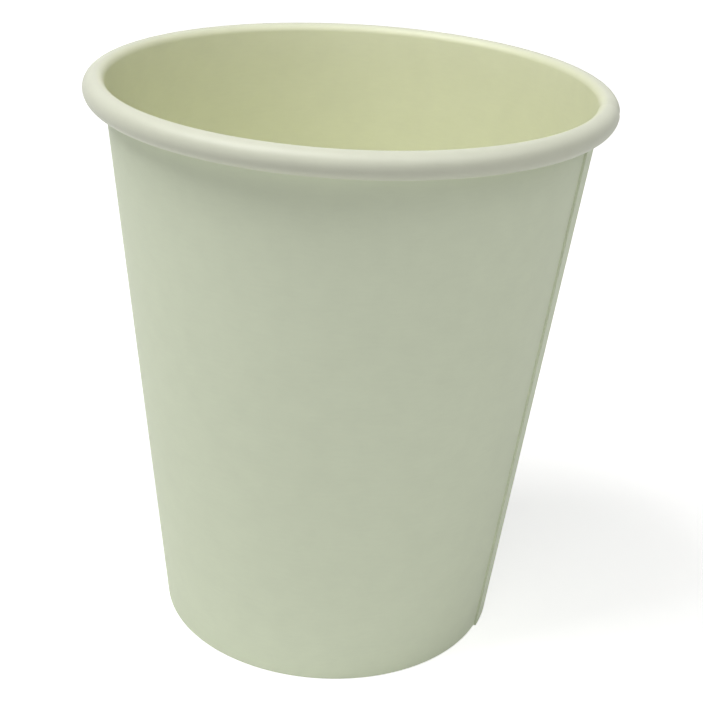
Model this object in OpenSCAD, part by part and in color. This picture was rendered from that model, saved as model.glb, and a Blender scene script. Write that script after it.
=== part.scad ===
// Paper coffee cup: a lapped and rolled paper sidewall with a drawn paper bottom disc.
// The cup stands on z = 0 with its axis on Z, and all sizes are in millimetres.

/* [Cup] */
// Outside diameter over the rolled rim
rim_d = 80; // [74:0.5:92]
// Outside diameter of the wall where the cup stands
base_d = 55; // [48:0.5:62]
// Overall height, from the table to the top of the roll
cup_h = 90; // [75:0.5:120]

/* [Paper] */
// Thickness of the sidewall paper
wall_t = 0.35; // [0.28:0.01:0.4]
// Thickness of the bottom disc paper
disc_t = 0.3; // [0.2:0.01:0.4]

/* [Rim roll] */
// How far the roll stands out past the line of the wall, at the top
roll_out = 2.8; // [2.6:0.05:3.2]
// Radius of the roll, which is half its height
roll_r = 1.9; // [1.7:0.05:2.2]
// Radius with which the paper turns up inside the roll
tuck_r = 0.8; // [0.7:0.05:0.9]
// How far the free edge turns on inside the roll, in degrees
tuck_turn = 110; // [60:5:130]

/* [Side seam] */
// Where the outer ply's raw edge lies, in degrees about the axis
seam_az = -22.5; // [-60:0.5:-20]
// Width of the lap at the middle of its height
lap_w = 6.2; // [4:0.1:9]
// How steeply the outer ply comes down past the inner ply's edge, in degrees
ramp_lean = 4; // [2:0.5:8]
// Width of the groove that the inner ply's raw edge leaves on the inside
groove_w = 0.3; // [0.2:0.05:0.5]
// Depth of that groove
groove_deep = 0.12; // [0.05:0.01:0.2]

/* [Bottom] */
// Height of the hem that is turned up inside the base
hem_h = 6.5; // [5:0.5:7]
// Height of the bottom disc's upper face above the table
floor_z = 8.5; // [8:0.5:14]
// Outside radius of the corner between the disc and its skirt
disc_corner_r = 1; // [0.6:0.1:1.5]

/* [Knurl] */
// Number of marks that the knurling wheel presses into the hem
knurl_count = 72; // [36:4:96]
// Depth of a mark
knurl_deep = 0.12; // [0.05:0.01:0.2]
// Radius of a mark's rounded bottom
knurl_r = 0.5; // [0.3:0.05:0.8]
// Plain strip above and below the marks
knurl_margin = 1.2; // [0.8:0.1:2]

/* [Hidden] */
$fn = 180;

// How far a ply or a cut runs into its neighbour, so that the two join cleanly
bite = 0.05;
// Largest turn between two points of an arc, and the radius under which an arc is a plain corner
arc_step = 12;
crease_r = 0.08;

// The wall leans from the base to its place under the roll
lean = atan((rim_d / 2 - roll_out - base_d / 2) / cup_h);

// The roll is round from its top to its bottom, and the free edge turns up from its bottom
roll_centre = [rim_d / 2 - roll_r, cup_h - roll_r];
tuck_centre = [roll_centre[0], cup_h - 2 * roll_r + tuck_r];

// The inside of the wall flares by an arc that touches both the wall and the top of the roll
flare_r = ((roll_out - roll_r) * cos(lean) + wall_t) / (1 - sin(lean));
flare_centre = [roll_centre[0], cup_h - flare_r];

// Angles of the seam, which follow from its widths at the middle of the wall
mid_r = wall_r(cup_h / 2);
lap_deg = lap_w / mid_r * 180 / PI;
groove_deg = groove_w / mid_r * 180 / PI;
ramp_deg = acos(cos(ramp_lean) * mid_r / (mid_r + wall_t)) - ramp_lean;
ramp_az = seam_az + lap_deg + ramp_deg;

// Depth of paper from the wall's outside to the hem, past the skirt between them
hem_depth = wall_t + disc_t;

// Radius at height z of the wall's outer line, or of a line that lies some paper deeper
function wall_r(z, depth = 0) = base_d / 2 + z * tan(lean) - depth / cos(lean);

// The point at a radius and an angle from a centre
function polar(centre, r, a) = centre + r * [cos(a), sin(a)];

// Points of an arc from angle a0 to a1, or the plain corner that a crease leaves on its inner side
function arc(centre, r, a0, a1, first = 0) =
    let (steps = ceil(abs(a1 - a0) / arc_step))
    r < crease_r ? [centre] : [for (k = [first:steps]) polar(centre, r, a0 + (a1 - a0) * k / steps)];

// The sheet's line at some depth of paper, from the hem's raw edge round the fold and up the wall
function wall_line(depth) = concat(
    [[wall_r(hem_h, hem_depth + wall_t - depth), hem_h]],
    arc([wall_r(wall_t, hem_depth), wall_t], wall_t - depth, 180 - lean, 270),
    arc([wall_r(wall_t, wall_t), wall_t], wall_t - depth, 270, 360 - lean)
);

// The sheet's line at some depth, from the flare over the top of the roll to its bottom. The roll's arc
// is split at the outside, so that the roll has its full width there.
function roll_line(depth) =
    let (thinner = wall_t - depth)
    concat(
        arc(flare_centre, flare_r - thinner, 180 - lean, 90),
        arc(roll_centre, roll_r - thinner, 90, 0, 1),
        arc(roll_centre, roll_r - thinner, 0, -90, 1)
    );

// The sheet's line at some depth, from the roll's bottom to the free edge inside the roll
function tuck_line(depth) =
    arc(tuck_centre, tuck_r - wall_t + depth, -90, -90 - tuck_turn, 1);

// The disc's line at some depth of paper, from its middle round its corner to the skirt's lower edge
function disc_line(depth) = concat(
    [[0, floor_z - depth]],
    arc([wall_r(floor_z - disc_corner_r, wall_t + disc_corner_r), floor_z - disc_corner_r],
        disc_corner_r - depth, 90, -lean),
    [[wall_r(wall_t, wall_t + depth), wall_t]]
);

function reversed(points) = [for (k = [len(points) - 1:-1:0]) points[k]];

// Section of the paper between two lines that run the same way
module ply(line_a, line_b) {
    polygon(concat(line_a, reversed(line_b)));
}

// Turns a section through part of a turn that starts at azimuth az
module sweep(az, angle) {
    rotate([0, 0, az]) rotate_extrude(angle = angle) children();
}

// The outer ply of the lap. It follows the sheet from the hem into the roll, is pressed flat on the
// table, and comes down to the wall past the inner ply's edge.
module lap_ply() {
    // How far the block that cuts the ramp reaches down past the table
    past = 1;
    difference() {
        sweep(seam_az, lap_deg + ramp_deg) intersection() {
            ply(concat(wall_line(-wall_t), roll_line(-wall_t)), concat(wall_line(bite), roll_line(bite)));
            square([rim_d, cup_h]);
        }
        rotate([0, 0, ramp_az]) translate([base_d / 2, 0, 0]) rotate([0, lean, 0])
            rotate([0, 0, ramp_lean]) translate([0, -2 * lap_w, -past])
                cube([lap_w, 3 * lap_w, (cup_h - 2 * roll_r) / cos(lean) + past]);
    }
}

// Groove along the inner ply's raw edge, up the inside of the wall and over the roll
module edge_groove() {
    bottom = wall_t - groove_deep;
    mouth = wall_t + bite;
    sweep(seam_az + lap_deg, groove_deg) difference() {
        ply(concat(wall_line(bottom), roll_line(bottom)), concat(wall_line(mouth), roll_line(mouth)));
        square([rim_d, floor_z]);
    }
}

// Marks of the knurling wheel, which presses the hem against the skirt from inside
module knurl_marks() {
    lower = knurl_margin;
    upper = hem_h - knurl_margin;
    for (k = [0:knurl_count - 1]) {
        az = k * 360 / knurl_count;
        past_seam = (az - seam_az) % 360;
        on_lap = past_seam < lap_deg + ramp_deg;
        face = hem_depth + (on_lap ? 2 : 1) * wall_t;
        rotate([0, 0, az]) translate([wall_r(lower, face + knurl_r - knurl_deep), 0, lower])
            rotate([0, lean, 0]) cylinder(r = knurl_r, h = upper - lower, $fn = 32);
    }
}

// One folded sheet: a cone with a lapped side seam, a rolled rim and a hem turned up inside
module sidewall() {
    color("#dfe3cf") difference() {
        union() {
            rotate_extrude() ply(
                concat(wall_line(0), roll_line(0), tuck_line(0)),
                concat(wall_line(wall_t), roll_line(wall_t), tuck_line(wall_t))
            );
            lap_ply();
        }
        edge_groove();
        knurl_marks();
    }
}

// Drawn disc whose skirt stands down between the wall and its hem
module bottom_disc() {
    color("#e3e6cf") rotate_extrude() ply(disc_line(0), disc_line(disc_t));
}

sidewall();
bottom_disc();
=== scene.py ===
"""A single-wall paper coffee cup: one lapped, rolled and folded sheet round a drawn bottom disc."""
import math

import bmesh
import bpy
from bpy.props import FloatProperty, FloatVectorProperty, IntProperty, PointerProperty
from bpy.types import Operator, Panel, PropertyGroup
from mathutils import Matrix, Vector


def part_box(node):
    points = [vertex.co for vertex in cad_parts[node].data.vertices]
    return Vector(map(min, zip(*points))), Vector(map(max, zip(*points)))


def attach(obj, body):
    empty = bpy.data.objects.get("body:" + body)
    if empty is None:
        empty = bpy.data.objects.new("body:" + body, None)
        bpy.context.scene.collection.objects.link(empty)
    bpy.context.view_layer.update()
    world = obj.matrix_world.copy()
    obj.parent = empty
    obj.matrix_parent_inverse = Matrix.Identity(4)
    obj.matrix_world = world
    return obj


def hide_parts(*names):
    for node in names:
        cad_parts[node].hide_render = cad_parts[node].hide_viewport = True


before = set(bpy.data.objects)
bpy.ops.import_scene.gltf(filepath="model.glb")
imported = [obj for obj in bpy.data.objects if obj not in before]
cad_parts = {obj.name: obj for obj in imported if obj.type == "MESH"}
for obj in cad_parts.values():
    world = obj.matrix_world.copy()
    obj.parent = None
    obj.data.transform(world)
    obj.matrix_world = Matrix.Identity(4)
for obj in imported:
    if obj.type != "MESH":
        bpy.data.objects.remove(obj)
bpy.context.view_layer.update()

bl_info = {
    "name": "Paper Coffee Cup",
    "version": (1, 0, 0),
    "blender": (4, 5, 0),
    "location": "3D View > Sidebar > Paper Cup",
    "description": "Builds a single-wall paper cup with a lapped seam, a rolled rim and a knurled hem",
    "category": "Add Mesh",
}

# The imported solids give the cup's outside sizes, the height of its bottom disc, and the thickness of the
# sheet that the disc's skirt stands on
SHEET_LOW, SHEET_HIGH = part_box("sidewall")
DISC_LOW, DISC_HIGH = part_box("bottom_disc")

WHITE = (1.0, 1.0, 1.0, 1.0)

# Room for rounding where vertices are picked by their place, in metres, or by their column, as an angle
TINY = 1e-7
COLUMN_SLACK = math.radians(0.05)

# Columns of the sheet along its lap, along the ramp that ends the lap, and in the turn that follows
LAP_COLUMNS, RAMP_COLUMNS, WALL_COLUMNS = 22, 11, 345
DISC_COLUMNS = 180

# Faces that meet at a smaller angle are shaded as one
SMOOTH_ANGLE = math.radians(35)

# A piece's finishes are listed in this order: the face that points out, the other face, the raw edges
BACK_SLOT, EDGE_SLOT = 1, 2

# Feel of the board, and of the board under its film: roughness, depth of the grain in metres and gloss
BOARD_FACE = {"roughness": 0.62, "grain_depth": 0.00001}
FILM_FACE = {"roughness": 0.5, "grain_depth": 0.000006, "coat": 0.06}


class PaperCupSizes(PropertyGroup):
    """Sizes of the cup and of its paper."""

    rim_d: FloatProperty(
        name="Rim", description="Outside diameter over the rolled rim",
        default=SHEET_HIGH.x - SHEET_LOW.x, min=0.074, max=0.092, unit="LENGTH",
    )
    base_d: FloatProperty(
        name="Base", description="Outside diameter of the wall where the cup stands",
        default=0.055, min=0.048, max=0.062, unit="LENGTH",
    )
    cup_h: FloatProperty(
        name="Height", description="Height from the table to the top of the roll",
        default=SHEET_HIGH.z, min=0.075, max=0.12, unit="LENGTH",
    )
    wall_t: FloatProperty(
        name="Sheet Paper", description="Thickness of the sidewall paper",
        default=DISC_LOW.z, min=0.00028, max=0.0004, precision=5, unit="LENGTH",
    )
    disc_t: FloatProperty(
        name="Disc Paper", description="Thickness of the bottom disc paper",
        default=0.0003, min=0.0002, max=0.0004, precision=5, unit="LENGTH",
    )
    roll_out: FloatProperty(
        name="Roll Overhang", description="How far the roll stands out past the line of the wall",
        default=0.0028, min=0.0026, max=0.0032, precision=5, unit="LENGTH",
    )
    roll_r: FloatProperty(
        name="Roll", description="Radius of the roll, which is half its height",
        default=0.0019, min=0.0017, max=0.0022, precision=5, unit="LENGTH",
    )
    tuck_r: FloatProperty(
        name="Tuck Radius", description="Radius with which the paper turns up inside the roll",
        default=0.0008, min=0.0007, max=0.0009, precision=5, unit="LENGTH",
    )
    tuck_turn: FloatProperty(
        name="Tuck Turn", description="How far the free edge turns on inside the roll",
        default=math.radians(110), min=math.radians(60), max=math.radians(130), subtype="ANGLE",
    )
    seam_az: FloatProperty(
        name="Seam", description="Where the outer ply's raw edge lies, about the axis",
        default=math.radians(-22.5), min=math.radians(-60), max=math.radians(-20), subtype="ANGLE",
    )
    lap_w: FloatProperty(
        name="Lap", description="Width of the lap at the middle of its height",
        default=0.0062, min=0.004, max=0.009, precision=4, unit="LENGTH",
    )
    ramp_lean: FloatProperty(
        name="Ramp", description="How steeply the outer ply comes down past the inner ply's edge",
        default=math.radians(4), min=math.radians(2), max=math.radians(8), subtype="ANGLE",
    )
    ply_gap: FloatProperty(
        name="Ply Gap", description="Air between the two plies of the lap",
        default=0.00001, min=0.0, max=0.00005, precision=6, unit="LENGTH",
    )
    hem_h: FloatProperty(
        name="Hem", description="Height of the hem that is turned up inside the base",
        default=0.0065, min=0.005, max=0.007, precision=5, unit="LENGTH",
    )
    floor_z: FloatProperty(
        name="Bottom", description="Height of the bottom disc's upper face above the table",
        default=DISC_HIGH.z, min=0.008, max=0.014, precision=5, unit="LENGTH",
    )
    disc_corner_r: FloatProperty(
        name="Disc Corner", description="Outside radius of the corner between the disc and its skirt",
        default=0.001, min=0.0006, max=0.0015, precision=5, unit="LENGTH",
    )
    knurl_pitch: IntProperty(
        name="Knurl Pitch", description="Columns of the sheet from one knurl mark to the next",
        default=5, min=3, max=10,
    )
    knurl_deep: FloatProperty(
        name="Knurl Depth", description="Depth of a knurl mark in the hem",
        default=0.00012, min=0.00005, max=0.0002, precision=5, unit="LENGTH",
    )
    knurl_margin: FloatProperty(
        name="Knurl Margin", description="Plain strip above and below the knurl marks",
        default=0.0012, min=0.0008, max=0.002, precision=5, unit="LENGTH",
    )


class PaperCupColours(PropertyGroup):
    """Colours of the paper's faces and of the floor."""

    board: FloatVectorProperty(
        name="Board", description="Uncoated outside of the sheet",
        default=(0.74, 0.80, 0.61), min=0.0, max=1.0, size=3, subtype="COLOR",
    )
    film: FloatVectorProperty(
        name="Film", description="Coated inside of the sheet",
        default=(0.785, 0.805, 0.57), min=0.0, max=1.0, size=3, subtype="COLOR",
    )
    # Painted shade: a darker copy of the film's colour for the roll, which faces the lamps, so that the
    # roll renders darker against the inside of the cup
    roll_film_painted_shade: FloatVectorProperty(
        name="Roll Film", description="Coated side of the sheet where it is stretched over the roll",
        default=(0.63, 0.645, 0.525), min=0.0, max=1.0, size=3, subtype="COLOR",
    )
    raw_edge: FloatVectorProperty(
        name="Raw Edge", description="Cut edge of the paper",
        default=(0.72, 0.77, 0.60), min=0.0, max=1.0, size=3, subtype="COLOR",
    )
    floor: FloatVectorProperty(
        name="Floor", description="Plain pale floor",
        default=(0.82, 0.82, 0.81), min=0.0, max=1.0, size=3, subtype="COLOR",
    )


class PaperCupStudio(PropertyGroup):
    """Camera and light."""

    lens: FloatProperty(
        name="Lens", description="Focal length that gives the photograph's framing",
        default=73.376, min=20.0, max=200.0, unit="CAMERA",
    )
    camera_place: FloatVectorProperty(
        name="Camera", description="Place of the camera",
        default=(0.002138, -0.212596, 0.14185), size=3, subtype="TRANSLATION", unit="LENGTH",
    )
    camera_dip: FloatProperty(
        name="Dip", description="How far the camera looks down",
        default=math.radians(24.543), subtype="ANGLE",
    )
    camera_roll: FloatProperty(
        name="Roll", description="How far the camera is turned about its line of sight",
        default=math.radians(3.227), subtype="ANGLE",
    )
    key_power: FloatProperty(
        name="Key", description="Power of the soft lamp high on the left",
        default=4.8, min=0.0, max=20.0, unit="POWER",
    )
    front_power: FloatProperty(
        name="Front", description="Power of the soft lamp high in front",
        default=1.6, min=0.0, max=20.0, unit="POWER",
    )
    fill_power: FloatProperty(
        name="Fill", description="Power of the soft lamp on the right",
        default=1.95, min=0.0, max=20.0, unit="POWER",
    )
    low_power: FloatProperty(
        name="Low", description="Power of the weak lamp low in front, which reaches under the roll",
        default=0.4, min=0.0, max=20.0, unit="POWER",
    )
    under_power: FloatProperty(
        name="Under", description="Power of the lamp below the floor, which shows the recess from below",
        default=0.5, min=0.0, max=20.0, unit="POWER",
    )
    glow_near: FloatProperty(
        name="Floor Near", description="White that the camera sees added to the floor under the cup",
        default=0.56, min=0.0, max=1.0, subtype="FACTOR",
    )
    glow_far: FloatProperty(
        name="Floor Far", description="White that the camera sees added to the floor further off",
        default=1.0, min=0.0, max=1.0, subtype="FACTOR",
    )


def polar(radius, angle):
    """The point at a radius and an angle in a plane."""
    return Vector((radius * math.cos(angle), radius * math.sin(angle)))


def arc(centre, radius, start, end, step=math.radians(9)):
    """Points of an arc in the section's plane."""
    count = math.ceil(abs(end - start) / step)
    return [centre + polar(radius, start + (end - start) * k / count) for k in range(count + 1)]


def between(start, end, count):
    """Numbers spread evenly from start to end, both among them."""
    return [start + (end - start) * k / count for k in range(count + 1)]


class CupShape:
    """Places and angles that follow from the cup's sizes.

    A depth is how far some line of the sheet lies in from the sheet's outside.
    """

    # Steps round a quarter of the fold, up the wall, across half of the disc and down its skirt
    FOLD_STEPS, WALL_STEPS, DISC_STEPS, SKIRT_STEPS = 4, 16, 8, 4
    # Largest turn between two points of the tuck
    TUCK_STEP = math.radians(15)

    def __init__(self, sizes):
        self.sizes = sizes
        self.lean = math.atan((sizes.rim_d / 2 - sizes.roll_out - sizes.base_d / 2) / sizes.cup_h)
        lean_cos, lean_sin = math.cos(self.lean), math.sin(self.lean)
        roll_x = sizes.rim_d / 2 - sizes.roll_r
        self.flare_r = ((sizes.roll_out - sizes.roll_r) * lean_cos + sizes.wall_t) / (1 - lean_sin)
        self.flare_centre = Vector((roll_x, sizes.cup_h - self.flare_r))
        self.roll_centre = Vector((roll_x, sizes.cup_h - sizes.roll_r))
        self.tuck_centre = Vector((roll_x, sizes.cup_h - 2 * sizes.roll_r + sizes.tuck_r))
        self.flare_z = self.flare_centre.y + self.flare_r * lean_sin
        self.hem_depth = sizes.wall_t + sizes.disc_t
        self.mid_r = self.wall_r(sizes.cup_h / 2)
        self.lap_turn = sizes.lap_w / self.mid_r
        lifted_r = self.mid_r + sizes.wall_t
        self.ramp_turn = math.acos(math.cos(sizes.ramp_lean) * self.mid_r / lifted_r) - sizes.ramp_lean

    def wall_r(self, z, depth=0.0):
        """Radius of the wall at a height, some paper deep."""
        return self.sizes.base_d / 2 + z * math.tan(self.lean) - depth / math.cos(self.lean)

    def hem_path(self, depth):
        """Down the hem, with a point at each end of the knurl marks and of their run-out."""
        sizes = self.sizes
        run_out = sizes.knurl_margin / 4
        upper = sizes.hem_h - sizes.knurl_margin
        lower = sizes.knurl_margin
        heights = (sizes.hem_h, upper, upper - run_out, lower + run_out, lower)
        return [Vector((self.wall_r(z, self.hem_depth + sizes.wall_t - depth), z)) for z in heights]

    def fold_path(self, depth):
        """Round the fold that the cup stands on, flat where it goes under the disc's skirt."""
        sizes = self.sizes
        quarter = math.pi / 2
        inner = Vector((self.wall_r(sizes.wall_t, self.hem_depth), sizes.wall_t))
        outer = Vector((self.wall_r(sizes.wall_t, sizes.wall_t), sizes.wall_t))
        radius = sizes.wall_t - depth
        step = quarter / self.FOLD_STEPS
        return (
            arc(inner, radius, math.pi - self.lean, 3 * quarter, step)
            + arc(outer, radius, 3 * quarter, 2 * math.pi - self.lean, step)
        )

    def wall_path(self, depth):
        """Up the wall, between the fold and the flare."""
        heights = between(self.sizes.wall_t, self.flare_z, self.WALL_STEPS)[1:-1]
        return [Vector((self.wall_r(z, depth), z)) for z in heights]

    def roll_path(self, depth):
        """Out of the wall by a flare, over the top of the roll and down its side to its bottom."""
        thinner = self.sizes.wall_t - depth
        top = math.pi / 2
        radius = self.sizes.roll_r - thinner
        return (
            arc(self.flare_centre, self.flare_r - thinner, math.pi - self.lean, top)
            + arc(self.roll_centre, radius, top, 0.0)[1:]
            + arc(self.roll_centre, radius, 0.0, -top)[1:]
        )

    def tuck_path(self, depth):
        """From the roll's bottom to the free edge inside it."""
        start = -math.pi / 2
        radius = self.sizes.tuck_r - self.sizes.wall_t + depth
        return arc(self.tuck_centre, radius, start, start - self.sizes.tuck_turn, self.TUCK_STEP)[1:]

    def sheet_path(self, depth):
        """The whole section of the sheet, from the hem's raw edge to the free edge in the roll."""
        return (
            self.hem_path(depth) + self.fold_path(depth) + self.wall_path(depth)
            + self.roll_path(depth) + self.tuck_path(depth)
        )

    def disc_path(self, depth):
        """The section of the bottom disc, from its middle round its corner to the skirt's lower edge."""
        sizes = self.sizes
        corner_z = sizes.floor_z - sizes.disc_corner_r
        corner = Vector((self.wall_r(corner_z, sizes.wall_t + sizes.disc_corner_r), corner_z))
        parts = between(0.0, 1.0, self.DISC_STEPS)[:-1]
        flat = [Vector((part * corner.x, sizes.floor_z - depth)) for part in parts]
        skirt = [
            Vector((self.wall_r(z, sizes.wall_t + depth), z))
            for z in between(corner_z, sizes.wall_t, self.SKIRT_STEPS)[1:]
        ]
        return flat + arc(corner, sizes.disc_corner_r - depth, math.pi / 2, -self.lean) + skirt

    def lift(self, past):
        """How far the outer ply stands off the wall, at an angle past its raw edge."""
        full = self.sizes.wall_t + self.sizes.ply_gap
        left = self.lap_turn + self.ramp_turn - past
        if left > self.ramp_turn:
            return full
        lean = self.sizes.ramp_lean
        rise = self.mid_r * (math.cos(lean) / math.cos(lean + left) - 1)
        return rise * full / self.sizes.wall_t


def deselect_all():
    """Leaves object mode with nothing selected."""
    if bpy.context.mode != "OBJECT":
        bpy.ops.object.mode_set(mode="OBJECT")
    bpy.ops.object.select_all(action="DESELECT")


def select_where(obj, test):
    """Selects, in edit mode, the vertices that pass a test, and nothing else."""
    mesh = bmesh.from_edit_mesh(obj.data)
    mesh.normal_update()
    for vert in mesh.verts:
        vert.select = test(vert)
    mesh.select_flush_mode()
    bmesh.update_edit_mesh(obj.data)


def draw_path(name, path, azimuth):
    """Extrudes one vertex along a section's path, which stands at an azimuth, and stays in edit mode."""
    deselect_all()
    bpy.ops.mesh.primitive_plane_add(size=path[0].x)
    obj = bpy.context.object
    obj.name = obj.data.name = name
    bpy.ops.object.mode_set(mode="EDIT")
    bpy.ops.mesh.select_mode(type="VERT")
    bpy.ops.mesh.merge(type="CENTER")
    out = polar(1.0, azimuth)
    places = [Vector((*(out * point.x), point.y)) for point in path]
    bpy.ops.transform.translate(value=places[0])
    for place, after in zip(places, places[1:]):
        bpy.ops.mesh.extrude_region_move(TRANSFORM_OT_translate={"value": after - place})
    bpy.ops.mesh.select_all(action="SELECT")
    return obj


def spin_on(turn, steps):
    """Sweeps the selected path on about the axis, counter-clockwise from above."""
    bpy.ops.mesh.spin(steps=steps, angle=-turn, center=(0.0, 0.0, 0.0), axis=(0.0, 0.0, 1.0))


def face_outwards(obj, z_low):
    """Turns the faces the same way, outwards on the stretch from a height to twice that height."""
    bpy.ops.mesh.select_all(action="SELECT")
    bpy.ops.mesh.normals_make_consistent(inside=False)
    mesh = bmesh.from_edit_mesh(obj.data)
    mesh.faces.ensure_lookup_table()
    facing = sum(
        face.normal.xy.dot(face.calc_center_median().xy)
        for face in mesh.faces
        if z_low < face.calc_center_median().z < 2 * z_low
    )
    if facing < 0:
        bpy.ops.mesh.flip_normals()


def thicken(obj, thickness):
    """Gives a sheet the thickness of its paper, half of it to each side."""
    bpy.ops.object.mode_set(mode="OBJECT")
    paper = obj.modifiers.new("Paper", "SOLIDIFY")
    paper.thickness = thickness
    paper.offset = 0.0
    paper.use_even_offset = True
    paper.use_quality_normals = True
    paper.material_offset = BACK_SLOT
    paper.material_offset_rim = EDGE_SLOT
    bpy.ops.object.modifier_apply(modifier=paper.name)


def finish_piece(obj, node):
    """Smooths the piece, and lets it stand for its solid in the frame."""
    bpy.ops.object.mode_set(mode="OBJECT")
    bpy.ops.object.shade_smooth_by_angle(angle=SMOOTH_ANGLE)
    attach(obj, "root")
    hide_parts(node)


class NodeBench:
    """Adds nodes to a material or a world and links them, so that a finish reads from top to bottom."""

    # The stretch of a noise in which nearly all of it lies
    NOISE_LOW, NOISE_HIGH = 0.3, 0.7

    def __init__(self, holder):
        holder.use_nodes = True
        self.holder = holder
        self.tree = holder.node_tree

    def add(self, kind, settings=None, **sockets):
        """A node with its settings, and with its sockets linked or set."""
        made = self.tree.nodes.new(kind)
        for key, value in (settings or {}).items():
            setattr(made, key, value)
        self.set_sockets(made, **sockets)
        return made

    def plug(self, value, socket):
        """Links an output to a socket, or sets the socket to a plain value."""
        if isinstance(value, bpy.types.NodeSocket):
            self.tree.links.new(value, socket)
        else:
            socket.default_value = value

    def set_sockets(self, node, **sockets):
        """Sets or links a node's sockets, whose names have spaces for underscores."""
        for key, value in sockets.items():
            self.plug(value, node.inputs[key.replace("_", " ")])

    def place(self):
        """Where on the cup a point lies."""
        return self.add("ShaderNodeTexCoord").outputs["Object"]

    def combine(self, operation, first, second):
        """Two numbers put together, such as by ADD or MAXIMUM."""
        made = self.add("ShaderNodeMath", {"operation": operation})
        self.plug(first, made.inputs[0])
        self.plug(second, made.inputs[1])
        return made.outputs["Value"]

    def blend(self, share, first, second):
        """The first colour, going over to the second with the share."""
        made = self.add("ShaderNodeMix", {"data_type": "RGBA"})
        self.set_sockets(made, Factor=share, A=first, B=second)
        return made.outputs["Result"]

    def blend_shaders(self, share, first, second):
        """The first shader, going over to the second with the share."""
        made = self.add("ShaderNodeMixShader", Fac=share)
        self.plug(first, made.inputs[1])
        self.plug(second, made.inputs[2])
        return made.outputs["Shader"]

    def noise(self, place, grain, detail=3.0):
        """Noise whose grain is a size in metres, from 0 to 1."""
        made = self.add("ShaderNodeTexNoise", Vector=place, Scale=1 / grain, Detail=detail)
        return made.outputs["Fac"]

    def rescale(self, value, value_range, low, high):
        """A number whose range is moved to another one, and which stays inside it."""
        made = self.add("ShaderNodeMapRange", Value=value, To_Min=low, To_Max=high)
        self.set_sockets(made, From_Min=value_range[0], From_Max=value_range[1])
        return made.outputs["Result"]

    def spread(self, noise, low=0.0, high=1.0):
        """Stretches the middle of a noise to a range."""
        return self.rescale(noise, (self.NOISE_LOW, self.NOISE_HIGH), low, high)

    def bump(self, height, depth, under=None):
        """A bump of some depth in metres, over another one."""
        made = self.add("ShaderNodeBump", Height=height, Distance=depth)
        if under:
            self.plug(under, made.inputs["Normal"])
        return made.outputs["Normal"]


def two_tones(bench, share, colour, down, up):
    """The colour, which goes with the share from a part of its light darker to a part lighter."""
    darkest = (*(channel * (1 - down) for channel in colour), 1.0)
    lightest = (*(channel * (1 + up) for channel in colour), 1.0)
    return bench.blend(share, darkest, lightest)


def from_axis(bench, place, near, far, low=0.0, high=1.0):
    """A number that goes from low to high between two distances from the cup's axis."""
    level = bench.add("ShaderNodeVectorMath", {"operation": "MULTIPLY"})
    bench.plug(place, level.inputs[0])
    level.inputs[1].default_value = (1.0, 1.0, 0.0)
    reach = bench.add("ShaderNodeVectorMath", {"operation": "LENGTH"})
    bench.plug(level.outputs["Vector"], reach.inputs[0])
    return bench.rescale(reach.outputs["Value"], (near, far), low, high)


def paper_finish(name, colour, roughness, grain_depth, coat=0.0, shade_painted=None):
    """Board with clouds in its pulp, fibres that lie round the cup, a fine grain and a slow waviness.

    The last argument, if given, holds a darker copy of the colour, which is painted shade on the roll,
    with the distances from the axis between which it comes in.
    """
    pulp_tones = {"down": 0.025, "up": 0.02}
    cloud_share = 0.6
    fibre_squash = (1.0, 1.0, 5.0)
    roughness_range = 0.04

    bench = NodeBench(bpy.data.materials.new(name))
    place = bench.place()
    along = bench.add("ShaderNodeMapping", Vector=place, Scale=fibre_squash).outputs["Vector"]
    clouds = bench.noise(place, grain=0.004)
    fibres = bench.noise(along, grain=0.0022, detail=5.0)
    specks = bench.noise(place, grain=0.0003, detail=2.0)
    waves = bench.noise(place, grain=0.03, detail=1.0)

    cloudy = bench.spread(clouds, high=cloud_share)
    pulp = bench.combine("ADD", cloudy, bench.spread(fibres, high=1 - cloud_share))
    tint = two_tones(bench, pulp, colour, **pulp_tones)
    # Painted shade: the roll takes a darker copy of the colour, which comes in between the outside of the
    # wall and the middle of the roll
    if shade_painted:
        roll_shade_colour, wall_r, roll_r = shade_painted
        roll_shade_tint = two_tones(bench, pulp, roll_shade_colour, **pulp_tones)
        tint = bench.blend(from_axis(bench, place, wall_r, roll_r), tint, roll_shade_tint)

    wavy = bench.bump(waves, depth=0.0004)
    fibrous = bench.bump(fibres, grain_depth, wavy)
    bench.set_sockets(
        bench.tree.nodes["Principled BSDF"],
        Base_Color=tint,
        Roughness=bench.spread(fibres, roughness - roughness_range, roughness + roughness_range),
        Normal=bench.bump(specks, grain_depth / 2, fibrous),
        Coat_Weight=coat,
        Coat_Roughness=0.35,
    )
    return bench.holder


def edge_finish(name, colour):
    """The cut edge of the paper, with its short torn fibres."""
    bench = NodeBench(bpy.data.materials.new(name))
    fibres = bench.noise(bench.place(), grain=0.0004, detail=4.0)
    bench.set_sockets(
        bench.tree.nodes["Principled BSDF"],
        Base_Color=two_tones(bench, bench.spread(fibres), colour, down=0.05, up=0.03),
        Roughness=0.85,
        Normal=bench.bump(fibres, depth=0.00004),
    )
    return bench.holder


def seen_directly(bench):
    """1 for rays from the camera, a gloss or a clear body, and 0 for light that the scene bounces."""
    path = bench.add("ShaderNodeLightPath")
    seen = path.outputs["Is Camera Ray"]
    for name in ("Is Glossy Ray", "Is Transmission Ray"):
        seen = bench.combine("MAXIMUM", seen, path.outputs[name])
    return seen


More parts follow.
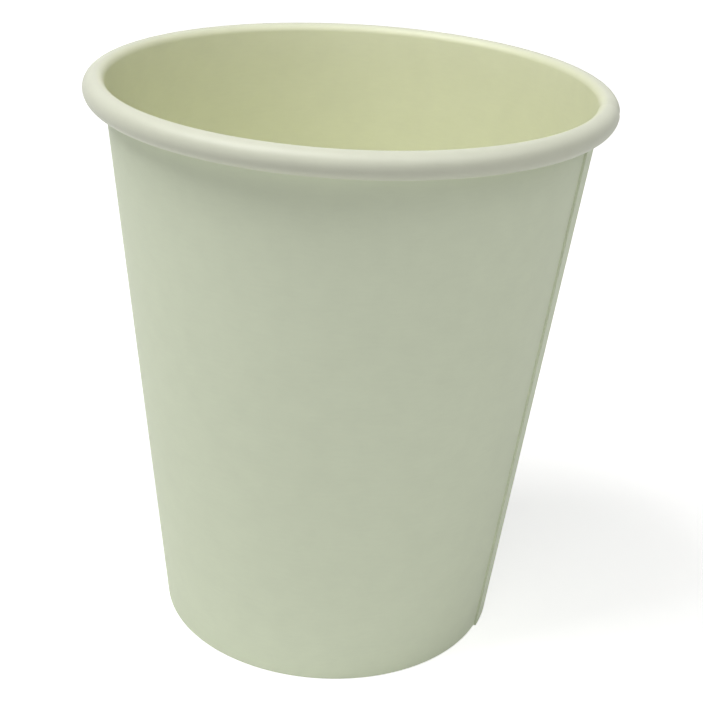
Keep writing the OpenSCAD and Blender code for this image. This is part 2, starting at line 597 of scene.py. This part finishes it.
def floor_finish(name, colour, glow_near, glow_far, clear_r):
    """Pale floor that looks white where no shadow falls, and keeps the shadow.

    It is clear from below, and also under the cup, where it would keep all light from the recess.
    """
    # Distances from the axis between which the glow goes from the near value to the far one
    glow_start, glow_end = 0.06, 1.0

    bench = NodeBench(bpy.data.materials.new(name))
    nodes = bench.tree.nodes
    nodes.remove(nodes["Principled BSDF"])
    place = bench.place()
    specks = bench.spread(bench.noise(place, grain=0.002))
    tint = two_tones(bench, specks, colour, down=0.01, up=0.01)
    matt = bench.add("ShaderNodeBsdfDiffuse", Color=tint).outputs["BSDF"]
    glow = from_axis(bench, place, glow_start, glow_end, glow_near, glow_far)
    light = bench.add("ShaderNodeEmission", Color=WHITE, Strength=glow)
    lit = bench.add("ShaderNodeAddShader")
    bench.plug(matt, lit.inputs[0])
    bench.plug(light.outputs["Emission"], lit.inputs[1])
    shown = bench.blend_shaders(seen_directly(bench), matt, lit.outputs["Shader"])

    from_below = bench.add("ShaderNodeNewGeometry").outputs["Backfacing"]
    under_cup = from_axis(bench, place, clear_r - TINY, clear_r, 1.0, 0.0)
    open_share = bench.combine("MAXIMUM", from_below, under_cup)
    clear = bench.add("ShaderNodeBsdfTransparent").outputs["BSDF"]
    bench.set_sockets(
        nodes["Material Output"], Surface=bench.blend_shaders(open_share, shown, clear),
    )
    return bench.holder


def white_backdrop():
    """A world that looks white behind the floor and gives no light."""
    bench = NodeBench(bpy.data.worlds.new("studio_world"))
    bpy.context.scene.world = bench.holder
    bench.set_sockets(
        bench.tree.nodes["Background"], Color=WHITE, Strength=seen_directly(bench),
    )


def soft_lamp(name, azimuth, height, distance, size, power):
    """A large square lamp that points at the cup. Its azimuth and its height are in degrees."""
    target = Vector((0.0, 0.0, 0.05))
    rise = math.radians(height)
    level = polar(math.cos(rise), math.radians(azimuth))
    place = target + distance * Vector((*level, math.sin(rise)))
    deselect_all()
    bpy.ops.object.light_add(type="AREA", location=place)
    lamp = bpy.context.object
    lamp.name = lamp.data.name = name
    lamp.rotation_euler = (target - place).to_track_quat("-Z", "Y").to_euler()
    lamp.data.size = size
    lamp.data.energy = power
    lamp.visible_camera = False


def place_camera(studio):
    """Puts the camera where the photograph was taken from."""
    deselect_all()
    bpy.ops.object.camera_add(location=studio.camera_place)
    camera = bpy.context.object
    camera.name = "photo_camera"
    camera.rotation_mode = "ZYX"
    camera.rotation_euler = (math.pi / 2 - studio.camera_dip, 0.0, studio.camera_roll)
    camera.data.lens = studio.lens
    camera.data.clip_start = 0.01
    camera.data.dof.use_dof = False
    bpy.context.scene.camera = camera


def lay_floor(finish):
    """Lays a round floor under the cup."""
    deselect_all()
    bpy.ops.mesh.primitive_circle_add(vertices=96, radius=3.0, fill_type="NGON")
    floor = bpy.context.object
    floor.name = "floor"
    floor.data.materials.append(finish)


class PAPERCUP_OT_studio(Operator):
    """Sets up the camera, the pale floor and the soft light"""

    bl_idname = "papercup.studio"
    bl_label = "Camera, Floor and Light"

    def execute(self, context):
        studio = context.scene.papercup_studio
        sizes = context.scene.papercup_sizes
        colour = context.scene.papercup_colours.floor
        inside_fold = sizes.base_d / 2 - sizes.wall_t
        place_camera(studio)
        lay_floor(floor_finish("pale_floor", colour, studio.glow_near, studio.glow_far, inside_fold))
        white_backdrop()
        soft_lamp("key_lamp", azimuth=198, height=60, distance=0.8, size=0.42, power=studio.key_power)
        soft_lamp("front_lamp", azimuth=280, height=70, distance=0.8, size=0.4, power=studio.front_power)
        soft_lamp("fill_lamp", azimuth=330, height=50, distance=0.9, size=0.5, power=studio.fill_power)
        soft_lamp("low_lamp", azimuth=275, height=15, distance=0.9, size=0.4, power=studio.low_power)
        soft_lamp("under_lamp", azimuth=0, height=-90, distance=0.35, size=0.2, power=studio.under_power)
        context.scene.view_settings.view_transform = "Standard"
        return {"FINISHED"}


def past_seam(vert, sizes):
    """How far a vertex lies past the outer ply's raw edge, as an angle about the axis."""
    turned = math.atan2(vert.co.y, vert.co.x) - sizes.seam_az + COLUMN_SLACK
    return turned % (2 * math.pi) - COLUMN_SLACK


def sweep_outer_ply(sheet, shape):
    """Sweeps the lap and its ramp, lifts them off the wall and presses them flat on the table."""
    sizes = shape.sizes
    spin_on(shape.lap_turn, LAP_COLUMNS)
    spin_on(shape.ramp_turn, RAMP_COLUMNS)
    face_outwards(sheet, sizes.cup_h / 3)

    select_where(sheet, lambda vert: past_seam(vert, sizes) < shape.lap_turn + COLUMN_SLACK)
    bpy.ops.transform.shrink_fatten(value=shape.lift(0.0))
    for k in range(1, RAMP_COLUMNS):
        past = shape.lap_turn + shape.ramp_turn * k / RAMP_COLUMNS
        select_where(sheet, lambda vert: abs(past_seam(vert, sizes) - past) < COLUMN_SLACK)
        bpy.ops.transform.shrink_fatten(value=shape.lift(past))

    fold_z = sizes.wall_t / 2
    select_where(sheet, lambda vert: vert.co.z < fold_z - TINY)
    bpy.ops.transform.resize(value=(1.0, 1.0, 0.0), center_override=(0.0, 0.0, fold_z))


def sweep_wall(sheet, shape):
    """Sweeps the sheet on from the ramp, round the cup and under the lap to its other raw edge."""
    sizes = shape.sizes
    outer_count = len(bmesh.from_edit_mesh(sheet.data).verts)
    ramp_end = shape.lap_turn + shape.ramp_turn
    select_where(sheet, lambda vert: abs(past_seam(vert, sizes) - ramp_end) < COLUMN_SLACK)
    spin_on(2 * math.pi - shape.ramp_turn, WALL_COLUMNS)

    def on_table_under_lap(vert):
        swept_now = vert.index >= outer_count
        on_table = vert.co.z < sizes.wall_t / 2 + TINY
        return swept_now and on_table and past_seam(vert, sizes) < shape.lap_turn + COLUMN_SLACK

    select_where(sheet, on_table_under_lap)
    bpy.ops.transform.translate(value=(0.0, 0.0, sizes.ply_gap))
    face_outwards(sheet, sizes.cup_h / 3)


def knurl_angles(shape):
    """Angles past the seam at which a knurl mark stands, on the lap and then round the rest."""
    pitch = shape.sizes.knurl_pitch
    # A column of the lap or of the ramp is about half as wide as one of the wall
    finer = 2
    on_lap = [shape.lap_turn * k / LAP_COLUMNS for k in range(0, LAP_COLUMNS, finer * pitch)]
    wall_column = (2 * math.pi - shape.ramp_turn) / WALL_COLUMNS
    open_columns = WALL_COLUMNS - (LAP_COLUMNS + RAMP_COLUMNS) // finer
    ramp_end = shape.lap_turn + shape.ramp_turn
    return on_lap + [ramp_end + wall_column * k for k in range(0, open_columns, pitch)]


def press_knurl(sheet, shape):
    """Presses the marks of the knurling wheel into the hem's inner face."""
    sizes = shape.sizes
    angles = knurl_angles(shape)
    low = sizes.knurl_margin + TINY
    high = sizes.hem_h - sizes.knurl_margin - TINY

    def in_mark(vert):
        z = vert.co.z
        hem_r = shape.wall_r(z, shape.hem_depth + sizes.wall_t / 2)
        if not low < z < high or vert.co.xy.length > hem_r:
            return False
        past = past_seam(vert, sizes)
        return any(abs(past - angle) < COLUMN_SLACK for angle in angles)

    bpy.ops.object.mode_set(mode="EDIT")
    select_where(sheet, in_mark)
    bpy.ops.transform.shrink_fatten(value=-sizes.knurl_deep)


class PAPERCUP_OT_sheet(Operator):
    """Draws the sheet's section, sweeps it round with its lap, and gives it the thickness of paper"""

    bl_idname = "papercup.sheet"
    bl_label = "Lapped and Rolled Sheet"

    def execute(self, context):
        sizes = context.scene.papercup_sizes
        colours = context.scene.papercup_colours
        shape = CupShape(sizes)
        sheet = draw_path("sidewall_sheet", shape.sheet_path(sizes.wall_t / 2), sizes.seam_az)
        sweep_outer_ply(sheet, shape)
        sweep_wall(sheet, shape)

        # The roll's darker copy of the film, which is painted shade, with the distances from the axis
        # between which it comes in
        shade_painted = (colours.roll_film_painted_shade, shape.wall_r(shape.flare_z, sizes.wall_t), shape.roll_centre.x)
        sheet.data.materials.append(paper_finish("outside_board", colours.board, **BOARD_FACE))
        sheet.data.materials.append(
            paper_finish("inside_film", colours.film, shade_painted=shade_painted, **FILM_FACE)
        )
        sheet.data.materials.append(edge_finish("sheet_raw_edge", colours.raw_edge))
        thicken(sheet, sizes.wall_t)
        press_knurl(sheet, shape)
        finish_piece(sheet, "sidewall")
        return {"FINISHED"}


class PAPERCUP_OT_disc(Operator):
    """Draws the bottom disc's section, spins it whole, and gives it the thickness of paper"""

    bl_idname = "papercup.disc"
    bl_label = "Bottom Disc"

    def execute(self, context):
        sizes = context.scene.papercup_sizes
        colours = context.scene.papercup_colours
        shape = CupShape(sizes)
        disc = draw_path("bottom_disc_paper", shape.disc_path(sizes.disc_t / 2), 0.0)
        spin_on(2 * math.pi, DISC_COLUMNS)
        bpy.ops.mesh.select_all(action="SELECT")
        bpy.ops.mesh.remove_doubles(threshold=0.00001)
        face_outwards(disc, sizes.floor_z / 3)
        disc.data.materials.append(paper_finish("disc_film", colours.film, **FILM_FACE))
        disc.data.materials.append(paper_finish("disc_board", colours.board, **BOARD_FACE))
        disc.data.materials.append(edge_finish("disc_raw_edge", colours.raw_edge))
        thicken(disc, sizes.disc_t - 2 * sizes.ply_gap)
        finish_piece(disc, "bottom_disc")
        return {"FINISHED"}


class PAPERCUP_PT_sidebar(Panel):
    """Lists the cup's sizes, its colours, the studio's settings and the steps"""

    bl_idname = "PAPERCUP_PT_sidebar"
    bl_label = "Paper Cup"
    bl_space_type = "VIEW_3D"
    bl_region_type = "UI"
    bl_category = "Paper Cup"

    def draw(self, context):
        layout = self.layout
        scene = context.scene
        for group in (scene.papercup_sizes, scene.papercup_colours, scene.papercup_studio):
            box = layout.box()
            for name in type(group).__annotations__:
                box.prop(group, name)
        for step in STEPS:
            layout.operator(step.bl_idname)


STEPS = (PAPERCUP_OT_studio, PAPERCUP_OT_sheet, PAPERCUP_OT_disc)
CLASSES = (PaperCupSizes, PaperCupColours, PaperCupStudio, *STEPS, PAPERCUP_PT_sidebar)


def register():
    """Makes the classes and the scene's settings known."""
    for cls in CLASSES:
        bpy.utils.register_class(cls)
    bpy.types.Scene.papercup_sizes = PointerProperty(type=PaperCupSizes)
    bpy.types.Scene.papercup_colours = PointerProperty(type=PaperCupColours)
    bpy.types.Scene.papercup_studio = PointerProperty(type=PaperCupStudio)


def unregister():
    """Takes the scene's settings and the classes away."""
    del bpy.types.Scene.papercup_studio
    del bpy.types.Scene.papercup_colours
    del bpy.types.Scene.papercup_sizes
    for cls in reversed(CLASSES):
        bpy.utils.unregister_class(cls)


def main():
    """Builds the scene in order."""
    register()
    bpy.ops.papercup.studio()
    bpy.ops.papercup.sheet()
    bpy.ops.papercup.disc()


if __name__ == "__main__":
    main()
